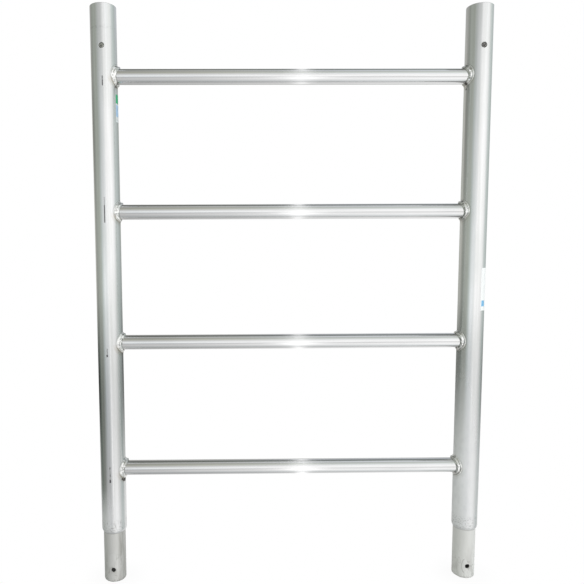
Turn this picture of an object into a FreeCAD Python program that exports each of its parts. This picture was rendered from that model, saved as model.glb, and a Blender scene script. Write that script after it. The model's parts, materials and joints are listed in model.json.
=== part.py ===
import FreeCAD, Part
import os
from enum import IntEnum

import Sketcher
from FreeCAD import Placement, Rotation, Vector

# Aluminium ladder frame of a scaffold tower: two round uprights, round rungs with coped and welded ends,
# and a spigot in the foot of each upright that plugs into the head of the frame below.
# Millimetres. +Z is up, +X runs along the rungs, and the origin is on the ground under the middle of the
# frame, level with the lower ends of the spigots.

RUNG_COUNT = 4

# Driving sizes: spreadsheet alias, value in millimetres, meaning.
DRIVING_SIZES = (
    ("upright_pitch", 700.0, "between the axes of the two uprights"),
    ("upright_diameter", 48.3, "outside of the upright tube"),
    ("upright_wall", 2.5, "wall of the upright tube"),
    ("foot_margin", 125.0, "from the upright's foot to the axis of the lowest rung"),
    ("rung_pitch", 250.0, "from one rung's axis to the next"),
    ("head_margin", 125.0, "from the axis of the highest rung to the upright's top"),
    ("rung_diameter", 28.0, "outside of the rung tube"),
    ("rung_wall", 2.0, "wall of the rung tube"),
    ("weld_upright_leg", 6.0, "reach of the weld bead along the upright, from the corner"),
    ("weld_rung_leg", 5.0, "reach of the weld bead along the rung, from the corner"),
    ("socket_clearance", 0.4, "radial play of a spigot in the head of the next frame"),
    ("spigot_wall", 3.0, "wall of the spigot tube"),
    ("spigot_grip", 75.0, "length of spigot held inside the upright's foot"),
    ("spigot_end_margin", 25.0, "from the spigot's pin hole to its lower end"),
    ("nose_height", 3.0, "height of the chamfered lead-in at the spigot's lower end"),
    ("nose_land", 1.5, "flat left on the spigot's lower end"),
    ("shoulder_run", 2.0, "height over which the spigot narrows below the upright's foot"),
    ("swage_squeeze", 0.1, "radial squeeze of the upright's foot on the spigot"),
    ("swage_run", 4.0, "height over which the squeezed foot widens to the full tube"),
    ("foot_round_height", 7.0, "height of the rounded outer edge at the upright's foot"),
    ("foot_land", 0.6, "flat left on the upright's foot"),
    ("pin_hole_setback", 75.0, "from the upright's top, or its foot, to the locking pin hole"),
    ("head_hole_diameter", 10.0, "pin hole through the head of the upright"),
    ("spigot_hole_diameter", 9.0, "pin hole through the spigot"),
)

# Sizes worked out from the driving ones, as spreadsheet expressions.
UPRIGHT_RADIUS = "Sizes.upright_diameter / 2"
BORE_RADIUS = f"({UPRIGHT_RADIUS} - Sizes.upright_wall)"
SEAT_RADIUS = f"({BORE_RADIUS} - Sizes.swage_squeeze)"
FOOT_RADIUS = f"({UPRIGHT_RADIUS} - Sizes.swage_squeeze)"
SPIGOT_RADIUS = f"({BORE_RADIUS} - Sizes.socket_clearance)"
SPIGOT_BORE_RADIUS = f"({SPIGOT_RADIUS} - Sizes.spigot_wall)"
SPIGOT_REACH = "(Sizes.pin_hole_setback + Sizes.spigot_end_margin)"
SWAGE_TOP = "(Sizes.spigot_grip + Sizes.swage_run)"
UPRIGHT_LENGTH = f"(Sizes.foot_margin + {RUNG_COUNT - 1} * Sizes.rung_pitch + Sizes.head_margin)"
HALF_PITCH = "Sizes.upright_pitch / 2"

# The side of the frame that each upright, spigot and weld stands on, as a sign along X.
SIDES = {"left": -1, "right": 1}

TURN_TO_X = Rotation(Vector(0, 1, 0), 90)
CORNER_SAMPLES = 7
CORNER_TOLERANCE = 0.001

doc = FreeCAD.newDocument("scaffold_frame")


class Axis(IntEnum):
    """The sketcher's numbers for a sketch's own axes."""

    HORIZONTAL = -1
    VERTICAL = -2


class Point(IntEnum):
    """The sketcher's numbers for the points of a line, an arc or a circle."""

    START = 1
    END = 2
    CENTRE = 3


ORIGIN_POINT = (Axis.HORIZONTAL, Point.START)


def make_sheet():
    """Put the driving sizes in a spreadsheet, one aliased cell each."""
    sheet = doc.addObject("Spreadsheet::Sheet", "Sizes")
    for row, (alias, value, meaning) in enumerate(DRIVING_SIZES, start=1):
        sheet.set(f"A{row}", meaning)
        sheet.set(f"B{row}", str(value))
        sheet.setAlias(f"B{row}", alias)
    doc.recompute()
    return sheet


def rung_height(number):
    """Height of a rung's axis over the ground; number 1 is the lowest."""
    return f"{SPIGOT_REACH} + Sizes.foot_margin + {number - 1} * Sizes.rung_pitch"


def place(obj, x, z):
    """Bind an object's place along X and Z to expressions."""
    obj.setExpression(".Placement.Base.x", x)
    obj.setExpression(".Placement.Base.z", z)


def make_body(label):
    """Start a part design body with a label of its own."""
    body = doc.addObject("PartDesign::Body", label)
    body.Label = label
    return body


def make_sketch(body, name, plane_role):
    """Attach a new sketch to one of the body's own origin planes."""
    plane = next(item for item in body.Origin.OriginFeatures if item.Role == plane_role)
    sketch = body.newObject("Sketcher::SketchObject", name)
    sketch.AttachmentSupport = [(plane, "")]
    sketch.MapMode = "FlatFace"
    return sketch


def constrain(sketch, kind, *references, name="", expression=""):
    """Add a constraint, and bind its value to an expression where it has one."""
    if not expression:
        sketch.addConstraint(Sketcher.Constraint(kind, *references))
        return
    value = float(sketch.evalExpression(expression))
    index = sketch.addConstraint(Sketcher.Constraint(kind, *references, value))
    sketch.renameConstraint(index, name)
    sketch.setExpression(f"Constraints.{name}", expression)


def draw_profile(sketch, corners, round_from):
    """Draw a closed half section about the sketch's vertical axis.

    corners gives each corner's name, radius and height, in order; an empty height is on the horizontal axis.
    The edge that leaves the corner round_from, if there is one, is an arc, tangent to the edge after it.
    """
    points = []
    for name, radius, height in corners:
        values = [float(sketch.evalExpression(text or "0")) for text in (radius, height)]
        points.append(Vector(*values, 0))
    count = len(points)
    for index, (name, radius, height) in enumerate(corners):
        first, last = points[index], points[(index + 1) % count]
        if name == round_from:
            drop, rise = last.x - first.x, last.y - first.y
            arc_radius = (drop * drop + rise * rise) / (2 * drop)
            centre = Vector(last.x - arc_radius, last.y, 0)
            circle = Part.Circle(centre, Vector(0, 0, 1), arc_radius)
            sketch.addGeometry(Part.ArcOfCircle(circle, circle.parameter(first), circle.parameter(last)))
        else:
            sketch.addGeometry(Part.LineSegment(first, last))
    for index, (name, radius, height) in enumerate(corners):
        kind = "Tangent" if name == round_from else "Coincident"
        constrain(sketch, kind, index, Point.END, (index + 1) % count, Point.START)
        corner = (index, Point.START)
        constrain(sketch, "DistanceX", *ORIGIN_POINT, *corner, name=f"{name}_radius", expression=radius)
        if height:
            constrain(sketch, "DistanceY", *ORIGIN_POINT, *corner, name=f"{name}_height", expression=height)
        else:
            constrain(sketch, "PointOnObject", *corner, Axis.HORIZONTAL)


def revolve_profile(body, corners, round_from=None):
    """Turn a half section about the body's own vertical axis."""
    sketch = make_sketch(body, f"{body.Label}_profile", "XZ_Plane")
    draw_profile(sketch, corners, round_from)
    turned = body.newObject("PartDesign::Revolution", f"{body.Label}_tube")
    turned.Profile = sketch
    turned.ReferenceAxis = (sketch, ["V_Axis"])
    turned.Angle = 360
    doc.recompute()


def drill_across(body, diameter, height):
    """Drill a pin hole from front to back through both walls of a tube."""
    sketch = make_sketch(body, f"{body.Label}_pin_hole_sketch", "XZ_Plane")
    start_height = float(sketch.evalExpression(height))
    start_radius = float(sketch.evalExpression(diameter)) / 2
    hole = sketch.addGeometry(Part.Circle(Vector(0, start_height, 0), Vector(0, 0, 1), start_radius))
    centre = (hole, Point.CENTRE)
    constrain(sketch, "PointOnObject", *centre, Axis.VERTICAL)
    constrain(sketch, "DistanceY", *ORIGIN_POINT, *centre, name="hole_height", expression=height)
    constrain(sketch, "Diameter", hole, name="hole_diameter", expression=diameter)
    cut_through(body, sketch, f"{body.Label}_pin_hole")


def cut_through(body, sketch, name):
    """Cut a sketch's circles through the whole body, both ways from the sketch's plane."""
    whole = body.Shape.Volume
    pocket = body.newObject("PartDesign::Pocket", name)
    pocket.Profile = sketch
    pocket.Type = "ThroughAll"
    pocket.SideType = "Symmetric"
    doc.recompute()
    if body.Shape.Volume >= whole:
        raise RuntimeError(f"{name} cut nothing")


def make_upright(label, side):
    """Make an upright: a tube squeezed on its spigot at the foot, with a pin hole near the head."""
    body = make_body(label)
    corners = (
        ("foot_inner", SEAT_RADIUS, ""),
        ("foot_land", f"{SEAT_RADIUS} + Sizes.foot_land", ""),
        ("foot_outer", FOOT_RADIUS, "Sizes.foot_round_height"),
        ("swage_outer", FOOT_RADIUS, "Sizes.spigot_grip"),
        ("tube_outer", UPRIGHT_RADIUS, SWAGE_TOP),
        ("head_outer", UPRIGHT_RADIUS, UPRIGHT_LENGTH),
        ("head_inner", BORE_RADIUS, UPRIGHT_LENGTH),
        ("tube_inner", BORE_RADIUS, SWAGE_TOP),
        ("swage_inner", SEAT_RADIUS, "Sizes.spigot_grip"),
    )
    revolve_profile(body, corners, "foot_land")
    drill_across(body, "Sizes.head_hole_diameter", f"{UPRIGHT_LENGTH} - Sizes.pin_hole_setback")
    place(body, f"{side} * {HALF_PITCH}", SPIGOT_REACH)
    return body


def make_spigot(label, side):
    """Make a spigot: a tube gripped in the upright's foot, with a chamfered lower end and a pin hole."""
    body = make_body(label)
    corners = (
        ("nose_inner", SPIGOT_BORE_RADIUS, f"-{SPIGOT_REACH}"),
        ("nose_land", f"{SPIGOT_BORE_RADIUS} + Sizes.nose_land", f"-{SPIGOT_REACH}"),
        ("nose_outer", SPIGOT_RADIUS, f"Sizes.nose_height - {SPIGOT_REACH}"),
        ("shoulder", SPIGOT_RADIUS, "-Sizes.shoulder_run"),
        ("seat_foot", SEAT_RADIUS, ""),
        ("seat_top", SEAT_RADIUS, "Sizes.spigot_grip"),
        ("bore_top", SPIGOT_BORE_RADIUS, "Sizes.spigot_grip"),
    )
    revolve_profile(body, corners)
    drill_across(body, "Sizes.spigot_hole_diameter", "-Sizes.pin_hole_setback")
    place(body, f"{side} * {HALF_PITCH}", SPIGOT_REACH)
    return body


def make_rung(label, number):
    """Make a rung: a tube along X with both ends coped to the round of the uprights."""
    body = make_body(label)
    section = make_sketch(body, f"{label}_section", "YZ_Plane")
    outside = "Sizes.rung_diameter"
    inside = "(Sizes.rung_diameter - 2 * Sizes.rung_wall)"
    for name, diameter in (("outside", outside), ("inside", inside)):
        start_radius = float(section.evalExpression(diameter)) / 2
        ring = section.addGeometry(Part.Circle(Vector(0, 0, 0), Vector(0, 0, 1), start_radius))
        constrain(section, "Coincident", ring, Point.CENTRE, *ORIGIN_POINT)
        constrain(section, "Diameter", ring, name=name, expression=diameter)
    tube = body.newObject("PartDesign::Pad", f"{label}_tube")
    tube.Profile = section
    tube.SideType = "Symmetric"
    tube.setExpression("Length", "Sizes.upright_pitch")
    doc.recompute()

    cope = make_sketch(body, f"{label}_cope_sketch", "XY_Plane")
    start_radius = float(cope.evalExpression(UPRIGHT_RADIUS))
    for name, side in SIDES.items():
        distance = f"{side} * {HALF_PITCH}"
        centre = Vector(float(cope.evalExpression(distance)), 0, 0)
        circle = cope.addGeometry(Part.Circle(centre, Vector(0, 0, 1), start_radius))
        middle = (circle, Point.CENTRE)
        constrain(cope, "PointOnObject", *middle, Axis.HORIZONTAL)
        constrain(cope, "DistanceX", *ORIGIN_POINT, *middle, name=f"{name}_place", expression=distance)
        constrain(cope, "Diameter", circle, name=f"{name}_round", expression="Sizes.upright_diameter")
    cut_through(body, cope, f"{label}_cope")
    place(body, "0", rung_height(number))
    return body


def is_weld_corner(edge, upright_radius, rung_radius):
    """Tell whether an edge lies on the outsides of both tubes, along the saddle curve where they meet."""
    for point in edge.discretize(CORNER_SAMPLES):
        from_upright = abs(Vector(point.x, point.y, 0).Length - upright_radius)
        from_rung = abs(Vector(0, point.y, point.z).Length - rung_radius)
        if max(from_upright, from_rung) > CORNER_TOLERANCE:
            return False
    return True


def make_weld_stock(sheet):
    """Make what all the weld beads are cut from: the corner of the two tubes, filled by a bevel.

    Returns the filled corner less the upright, and the rung's outside, which is still to be cut from it.
    """
    upright = doc.addObject("Part::Cylinder", "weld_upright_outside")
    upright.setExpression("Radius", UPRIGHT_RADIUS)
    upright.setExpression("Height", "2 * (Sizes.rung_diameter + Sizes.weld_upright_leg)")
    upright.setExpression(".Placement.Base.z", "-Sizes.rung_diameter - Sizes.weld_upright_leg")
    rung = doc.addObject("Part::Cylinder", "weld_rung_outside")
    rung.setExpression("Radius", "Sizes.rung_diameter / 2")
    rung.setExpression("Height", "Sizes.upright_diameter + Sizes.weld_rung_leg")
    rung.Placement = Placement(Vector(0, 0, 0), TURN_TO_X)
    tubes = doc.addObject("Part::Fuse", "weld_tube_outsides")
    tubes.Base, tubes.Tool = upright, rung
    doc.recompute()

    legs = (sheet.weld_upright_leg, sheet.weld_rung_leg)
    radii = (upright.Radius.Value, rung.Radius.Value)
    filled = doc.addObject("Part::Chamfer", "weld_filled_corner")
    filled.Base = tubes
    filled.Edges = [
        (number, *legs)
        for number, edge in enumerate(tubes.Shape.Edges, start=1)
        if is_weld_corner(edge, *radii)
    ]
    stock = doc.addObject("Part::Cut", "weld_stock")
    stock.Base, stock.Tool = filled, upright
    doc.recompute()
    return stock, rung


def make_welds(label, stock, number):
    """Make the two beads of a rung, one round each end; the right-hand one is turned to face the rung."""
    beads = []
    for name, side in SIDES.items():
        bead = doc.addObject("Part::Cut", f"{label}_{name}")
        bead.Base, bead.Tool = stock
        bead.Placement = Placement(Vector(0, 0, 0), Rotation(Vector(0, 0, 1), 90 + 90 * side))
        place(bead, f"{side} * {HALF_PITCH}", rung_height(number))
        beads.append(bead)
    pair = doc.addObject("Part::Compound", label)
    pair.Label = label
    pair.Links = beads
    return pair


def check(parts):
    """Stop if any object failed to compute or any sub-part isn't one sound solid."""
    for obj in doc.Objects:
        if "Invalid" in obj.State or "Error" in obj.State:
            raise RuntimeError(f"{obj.Label} failed: {obj.State}")
    for part, solid_count in parts.items():
        shape = part.Shape
        if shape.isNull() or not shape.isValid() or len(shape.Solids) != solid_count:
            raise RuntimeError(f"{part.Label} is not {solid_count} valid solid(s)")


def main():
    """Build the frame and write each sub-part to its own file."""
    sheet = make_sheet()
    solid_counts = {}
    for name, side in SIDES.items():
        solid_counts[make_upright(f"upright_{name}", side)] = 1
        solid_counts[make_spigot(f"spigot_{name}", side)] = 1
    stock = make_weld_stock(sheet)
    for number in range(1, RUNG_COUNT + 1):
        solid_counts[make_rung(f"rung_{number}", number)] = 1
        solid_counts[make_welds(f"welds_{number}", stock, number)] = len(SIDES)
    doc.recompute()
    check(solid_counts)
    os.makedirs("parts", exist_ok=True)
    for part in solid_counts:
        part.Shape.exportStep(f"parts/{part.Label}.step")
        print(part.Label, round(part.Shape.Volume), "mm3")


main()
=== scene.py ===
"""Looks of a light aluminium scaffold frame: two uprights, four rungs, their weld beads and two spigots."""

import json
import logging
import math
import random
from collections.abc import Callable, Iterable, Sequence
from dataclasses import dataclass
from enum import Enum

import bmesh
import bpy
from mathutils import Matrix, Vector


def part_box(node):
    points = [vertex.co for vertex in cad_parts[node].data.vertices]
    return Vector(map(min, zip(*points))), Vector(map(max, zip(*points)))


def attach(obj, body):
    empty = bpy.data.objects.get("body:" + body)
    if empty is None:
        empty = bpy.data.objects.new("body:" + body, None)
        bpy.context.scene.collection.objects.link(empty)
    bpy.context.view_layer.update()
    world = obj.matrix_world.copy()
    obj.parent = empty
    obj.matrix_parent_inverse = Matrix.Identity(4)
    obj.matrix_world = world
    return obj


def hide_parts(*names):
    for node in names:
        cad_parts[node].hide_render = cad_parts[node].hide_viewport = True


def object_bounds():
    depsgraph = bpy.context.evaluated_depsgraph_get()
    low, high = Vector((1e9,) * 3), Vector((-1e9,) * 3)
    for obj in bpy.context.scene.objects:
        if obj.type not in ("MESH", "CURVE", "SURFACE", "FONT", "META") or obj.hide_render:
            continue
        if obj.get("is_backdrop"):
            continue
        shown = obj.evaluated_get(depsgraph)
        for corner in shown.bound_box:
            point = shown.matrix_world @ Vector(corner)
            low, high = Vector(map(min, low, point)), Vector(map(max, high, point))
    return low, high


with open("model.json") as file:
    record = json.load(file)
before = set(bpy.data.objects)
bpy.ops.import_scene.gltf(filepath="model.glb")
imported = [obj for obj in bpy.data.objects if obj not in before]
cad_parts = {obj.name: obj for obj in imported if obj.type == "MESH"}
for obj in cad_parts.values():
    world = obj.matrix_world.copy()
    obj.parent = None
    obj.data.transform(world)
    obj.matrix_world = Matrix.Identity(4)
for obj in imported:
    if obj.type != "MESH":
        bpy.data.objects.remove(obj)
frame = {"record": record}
CAD_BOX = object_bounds()

LOG = logging.getLogger("scaffold_frame")
BODY = "root"
MM = 0.001
DEGREES = math.degrees(1)
FULL_TURN = 360.0
HALF_TURN = 180.0
QUARTER_TURN = 90.0
WHITE = (1.0, 1.0, 1.0, 1.0)
RUNG_COUNT = 4
# Sockets of a mix node that hold colours; those for numbers and vectors have the same names.
MIX_INPUTS = (6, 7)
MIX_OUTPUT = 2

Colour = tuple[float, float, float]
Triple = tuple[float, float, float]
Row = tuple[float, float]
Pair = tuple[float, float]
Ring = list[bmesh.types.BMVert]
Number = float | int


class Side(Enum):
    """The two sides of the frame, as signs along X."""

    LEFT = -1
    RIGHT = 1

    @property
    def word(self) -> str:
        """Name of the side as it stands in node names."""
        return self.name.lower()


class Draw(Enum):
    """The way a tube was drawn, as the stretch of its marks along X, Y and Z."""

    ALONG_X = (0.012, 1.0, 1.0)
    ALONG_Z = (1.0, 1.0, 0.012)


@dataclass(frozen=True)
class FrameSizes:
    """Sizes of the frame in metres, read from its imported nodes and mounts.

    A hole is its height over the ground and its radius.
    """

    upright_x: float
    upright_radius: float
    bore_radius: float
    seat_radius: float
    head: float
    foot: float
    swage_top: float
    spigot_radius: float
    spigot_bore: float
    spigot_top: float
    head_hole: Pair
    spigot_hole: Pair
    rung_radius: float
    rung_heights: tuple[float, ...]
    weld_reach: float

    @classmethod
    def read(cls) -> "FrameSizes":
        """Read the sizes.

        Returns:
            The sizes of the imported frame.
        """
        mounts = {mount["name"]: mount for mount in frame["record"]["mounts"]}

        def radius(name: str) -> float:
            """Radius of a round mount in metres."""
            return mounts[name]["dims"]["r_mm"] * MM

        def height(name: str) -> float:
            """Height of a mount over the ground."""
            return mounts[name]["pos_m"][2]

        low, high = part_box("upright_right")
        spigot_low, spigot_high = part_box("spigot_right")
        rungs = [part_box(f"rung_{number}") for number in range(1, RUNG_COUNT + 1)]
        weld_low, weld_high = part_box("welds_1")
        rung_radius = (rungs[0][1].z - rungs[0][0].z) / 2
        return cls(
            upright_x=mounts["socket_right"]["pos_m"][0],
            upright_radius=(high.x - low.x) / 2,
            bore_radius=radius("socket_right"),
            seat_radius=(spigot_high.x - spigot_low.x) / 2,
            head=high.z,
            foot=low.z,
            swage_top=high.z - mounts["socket_right"]["dims"]["length_mm"] * MM,
            spigot_radius=radius("spigot_right"),
            spigot_bore=radius("leg_socket_right"),
            spigot_top=spigot_high.z,
            head_hole=(height("head_pin_right"), radius("head_pin_right")),
            spigot_hole=(height("spigot_pin_right"), radius("spigot_pin_right")),
            rung_radius=rung_radius,
            rung_heights=tuple((lowest.z + highest.z) / 2 for lowest, highest in rungs),
            weld_reach=(weld_high.z - weld_low.z) / 2 - rung_radius,
        )

    def axis_x(self, side: Side) -> float:
        """Place of an upright's axis along X."""
        return side.value * self.upright_x

    def rung_height(self, number: int) -> float:
        """Height of a rung's axis over the ground."""
        return self.rung_heights[number - 1]

    def from_upright_axis(self, place: "Value") -> "Value":
        """Distance from the axis of the nearer upright."""
        x, y, _ = place.parts()
        return (abs(x) - self.upright_x).hypot(y)

    def over_rung(self, height: "Value") -> "Value":
        """Height over the axis of the nearest rung."""
        pitch = self.rung_heights[1] - self.rung_heights[0]
        return (height - self.rung_heights[0]).math("WRAP", pitch / 2, -pitch / 2)


class PieceMesh:
    """A closed mesh under construction, made of rings that are joined by bands of faces."""

    def __init__(self) -> None:
        """Start with an empty mesh."""
        self.mesh = bmesh.new()

    def ring(self, points: Iterable[Vector]) -> Ring:
        """Add a ring of vertices at the given points, in order."""
        return [self.mesh.verts.new(point) for point in points]

    def band(self, first: Ring, second: Ring, left_out: frozenset[int] = frozenset()) -> None:
        """Join two rings of the same length with faces.

        Args:
            first: One ring.
            second: The ring to join it to.
            left_out: Numbers of the faces to leave open.
        """
        count = len(first)
        for index in range(count):
            if index not in left_out:
                after = (index + 1) % count
                self.mesh.faces.new((first[index], first[after], second[after], second[index]))

    def close(self, rings: Sequence[Ring]) -> None:
        """Join each ring of the same length to the next, and the last to the first."""
        for index, ring in enumerate(rings):
            self.band(ring, rings[(index + 1) % len(rings)])

    def finish(self, name: str, crease: float = 35.0) -> bpy.types.Object:
        """Turn the mesh into an object of the scene.

        Args:
            name: Name of the piece.
            crease: Edges that turn by more than this many degrees stay sharp.

        Returns:
            The new object, riding on the frame.
        """
        loose = [vert for vert in self.mesh.verts if not vert.link_faces]
        bmesh.ops.delete(self.mesh, geom=loose, context="VERTS")
        bmesh.ops.recalc_face_normals(self.mesh, faces=self.mesh.faces[:])
        data = bpy.data.meshes.new(name)
        self.mesh.to_mesh(data)
        self.mesh.free()
        data.shade_smooth()
        data.set_sharp_from_angle(angle=math.radians(crease))
        piece = bpy.data.objects.new(name, data)
        bpy.context.scene.collection.objects.link(piece)
        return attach(piece, BODY)


class Value:
    """A shader socket that Python's operators turn into maths nodes."""

    def __init__(self, graph: "Graph", socket: bpy.types.NodeSocket | None) -> None:
        """Wrap an output socket of a graph, or None where a node has no output."""
        self.graph = graph
        self.socket = socket

    def math(self, operation: str, *others: "Value | Number") -> "Value":
        """Add a maths node that takes this value first, and then the others."""
        inputs = dict(enumerate((self, *others)))
        return self.graph.node("ShaderNodeMath", {"operation": operation}, inputs)

    def __add__(self, other: "Value | Number") -> "Value":
        """Sum."""
        return self.math("ADD", other)

    __radd__ = __add__

    def __mul__(self, other: "Value | Number") -> "Value":
        """Product."""
        return self.math("MULTIPLY", other)

    __rmul__ = __mul__

    def __sub__(self, other: "Value | Number") -> "Value":
        """Difference."""
        return self.math("SUBTRACT", other)

    def __rsub__(self, other: Number) -> "Value":
        """Difference from a number."""
        return self * -1 + other

    def __truediv__(self, other: "Value | Number") -> "Value":
        """Quotient."""
        return self.math("DIVIDE", other)

    def __pow__(self, other: Number) -> "Value":
        """Power."""
        return self.math("POWER", other)

    def __abs__(self) -> "Value":
        """Size without the sign."""
        return self.math("ABSOLUTE")

    def turn_from(self, ahead: "Value") -> "Value":
        """Angle in degrees of a direction that goes this far aside and so far ahead."""
        return self.math("ARCTAN2", ahead) * DEGREES

    def hypot(self, across: "Value") -> "Value":
        """Length of a line that goes this far one way and so far across it."""
        return (self ** 2 + across ** 2).math("SQRT")

    def raised(self, least: float, added: float) -> "Value":
        """The least where this value is 0, and with what is added where it is 1."""
        return self * added + least

    def swayed(self, reach: float) -> "Value":
        """Noise from 0 to 1 turned into a sway of this reach about 0."""
        return (self - 0.5) * reach

    def over(self, low: float, high: float) -> "Value":
        """Rise smoothly from 0 at low to 1 at high; low may be the greater."""
        inputs = {"Value": self, "From Min": low, "From Max": high}
        return self.graph.node("ShaderNodeMapRange", {"interpolation_type": "SMOOTHSTEP"}, inputs)

    def within(self, low: float, high: float, soft: float) -> "Value":
        """Mask that is 1 from low to high and fades over soft past each."""
        return self.over(low - soft, low) * self.over(high + soft, high)

    def hump(self, centre: float, width: "Value | float") -> "Value":
        """Bell curve of height 1 about a centre."""
        return (((self - centre) / width) ** 2 * -1).math("EXPONENT")

    def mix(self, first: "Value | Colour", second: "Value | Colour") -> "Value":
        """Blend two colours by this value.

        Args:
            first: The colour at 0, or a link to it.
            second: The colour at 1, or a link to it.

        Returns:
            The blended colour.
        """
        inputs: dict[str | int, object] = {"Factor": self}
        for number, end in zip(MIX_INPUTS, (first, second)):
            inputs[number] = end if isinstance(end, Value) else (*end, 1.0)
        return self.graph.node("ShaderNodeMix", {"data_type": "RGBA"}, inputs, MIX_OUTPUT)

    def vector(self, operation: str, others: dict[str | int, object], output: str | int = 0) -> "Value":
        """Add a vector maths node that takes this vector or colour first."""
        return self.graph.node("ShaderNodeVectorMath", {"operation": operation}, {0: self, **others}, output)

    def times(self, factors: "Value | Triple") -> "Value":
        """Multiply a vector or a colour by another, part by part."""
        return self.vector("MULTIPLY", {1: factors})

    def scaled(self, factor: "Value") -> "Value":
        """Multiply a vector or a colour by one factor."""
        return self.vector("SCALE", {"Scale": factor})

    def apart(self, point: Triple) -> "Value":
        """Distance from a point."""
        return self.vector("DISTANCE", {1: point}, "Value")

    def other(self, name: str | int) -> "Value":
        """Another output of the node that this value comes from."""
        return Value(self.graph, self.socket.node.outputs[name])

    def parts(self) -> tuple["Value", "Value", "Value"]:
        """Components of a vector."""
        first = self.graph.node("ShaderNodeSeparateXYZ", inputs={0: self})
        return first, first.other(1), first.other(2)

    def noise(self, per_metre: float, detail: float = 2.0, rough: float = 0.5) -> "Value":
        """Smooth random pattern from 0 to 1: its waves in a metre, its finer octaves and their strength."""
        inputs = {"Vector": self, "Scale": per_metre, "Detail": detail, "Roughness": rough}
        return self.graph.node("ShaderNodeTexNoise", inputs=inputs)


class Graph:
    """The nodes of one material or world."""

    def __init__(self, block: bpy.types.Material | bpy.types.World) -> None:
        """Start from an empty node tree.

        Args:
            block: The new material or world.
        """
        block.use_nodes = True
        self.tree = block.node_tree
        self.tree.nodes.clear()

    def node(
        self,
        kind: str,
        settings: dict[str, object] | None = None,
        inputs: dict[str | int, object] | None = None,
        output: str | int = 0,
    ) -> Value:
        """Add a node.

        Args:
            kind: Its type.
            settings: Its properties, which are set before its sockets.
            inputs: Values or links of its input sockets, by name or number.
            output: The output socket to hand back.

        Returns:
            That output.
        """
        made = self.tree.nodes.new(kind)
        for name, setting in (settings or {}).items():
            if name == "stops":
                self.set_stops(made.color_ramp, setting)
            else:
                setattr(made, name, setting)
        for name, value in (inputs or {}).items():
            if isinstance(value, Value):
                self.tree.links.new(value.socket, made.inputs[name])
            else:
                made.inputs[name].default_value = value
        return Value(self, made.outputs[output]) if made.outputs else Value(self, None)

    @staticmethod
    def set_stops(ramp: bpy.types.ColorRamp, stops: Sequence[tuple[float, Colour]]) -> None:
        """Give a colour ramp its stops.

        Args:
            ramp: The ramp.
            stops: Place from 0 to 1 and colour of each stop, in order.
        """
        ramp.elements.remove(ramp.elements[1])
        ramp.elements[0].position, ramp.elements[0].color = stops[0][0], (*stops[0][1], 1.0)
        for place, colour in stops[1:]:
            ramp.elements.new(place).color = (*colour, 1.0)

    def place(self) -> Value:
        """Place on the object, in metres of the shared frame."""
        return self.node("ShaderNodeTexCoord", output="Object")


@dataclass(frozen=True)
class Grain:
    """A random pattern on the surface.

    per_metre is its waves in a metre, detail and rough are the number and the strength of its finer
    octaves, and along is the factor on its waves along Z. It starts to show at the noise low and is
    full at high.
    """

    per_metre: float
    detail: float
    along: float
    low: float
    high: float
    rough: float = 0.5

    def mask(self, place: Value) -> Value:
        """Mask of the pattern, from 0 to 1."""
        drawn_out = place.times((1.0, 1.0, self.along))
        return drawn_out.noise(self.per_metre, self.detail, self.rough).over(self.low, self.high)


@dataclass(frozen=True)
class Band:
    """A strip of the surface: where it starts and stops, how softly it ends, and how strong it is."""

    start: float
    stop: float
    soft: float
    share: float = 1.0

    def mask(self, along: Value) -> Value:
        """Mask of the strip."""
        return along.within(self.start, self.stop, self.soft) * self.share


@dataclass(frozen=True)
class Layer:
    """A tone over the metal: the share that shows, how far it hides the metal, and the roughness it adds."""

    tone: Value | Colour
    share: float = 1.0
    cover: float = 0.0
    rough: float = 0.0


@dataclass(frozen=True)
class MetalFinish:
    """Bare aluminium: its tones, its gloss and the marks that drawing left along the tube.

    cloud is where the oxide's pattern passes from the bare tone to the dull one. blotch_rough and line_rough
    are how far the gloss varies over that pattern and over the die lines. A pair of octaves is their number
    and their strength. blotch_stretch is the power of the draw's factors that stretch the pattern.
    """

    name: str
    tone: Colour
    dull_tone: Colour
    cloud: Pair
    roughness: float
    blotch_rough: float
    lines_per_metre: float
    blotch_per_metre: float
    line_rough: float = 0.0
    line_depth: float = 0.02 * MM
    draw: Draw = Draw.ALONG_Z
    line_octaves: Pair = (3.0, 0.6)
    blotch_octaves: Pair = (4.0, 0.55)
    blotch_stretch: float = 0.3

    def die_lines(self, place: Value) -> Value:
        """Fine marks along the tube, left by the die it was drawn through."""
        return place.times(self.draw.value).noise(self.lines_per_metre, *self.line_octaves)

    def blotches(self, place: Value) -> Value:
        """Broad cloudy patches of thin oxide, longer along the tube than across."""
        broad = tuple(factor ** self.blotch_stretch for factor in self.draw.value)
        return place.times(broad).noise(self.blotch_per_metre, *self.blotch_octaves)


MILL_FINISH = MetalFinish(
    name="upright_mill_finish",
    tone=(0.82, 0.82, 0.82),
    dull_tone=(0.75, 0.76, 0.75),
    cloud=(0.35, 0.75),
    roughness=0.21,
    blotch_rough=0.1,
    line_rough=0.06,
    lines_per_metre=900.0,
    blotch_per_metre=26.0,
)
DRAWN_FINISH = MetalFinish(
    name="rung_drawn_finish",
    tone=(0.82, 0.82, 0.82),
    dull_tone=(0.76, 0.76, 0.76),
    cloud=(0.4, 0.8),
    roughness=0.095,
    blotch_rough=0.06,
    line_rough=0.05,
    draw=Draw.ALONG_X,
    lines_per_metre=700.0,
    blotch_per_metre=30.0,
)
DULL_FINISH = MetalFinish(
    name="spigot_dull_finish",
    tone=(0.69, 0.685, 0.67),
    dull_tone=(0.59, 0.58, 0.56),
    cloud=(0.3, 0.75),
    roughness=0.47,
    blotch_rough=0.12,
    line_rough=0.1,
    lines_per_metre=600.0,
    line_depth=0.05 * MM,
    blotch_per_metre=45.0,
)
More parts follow.
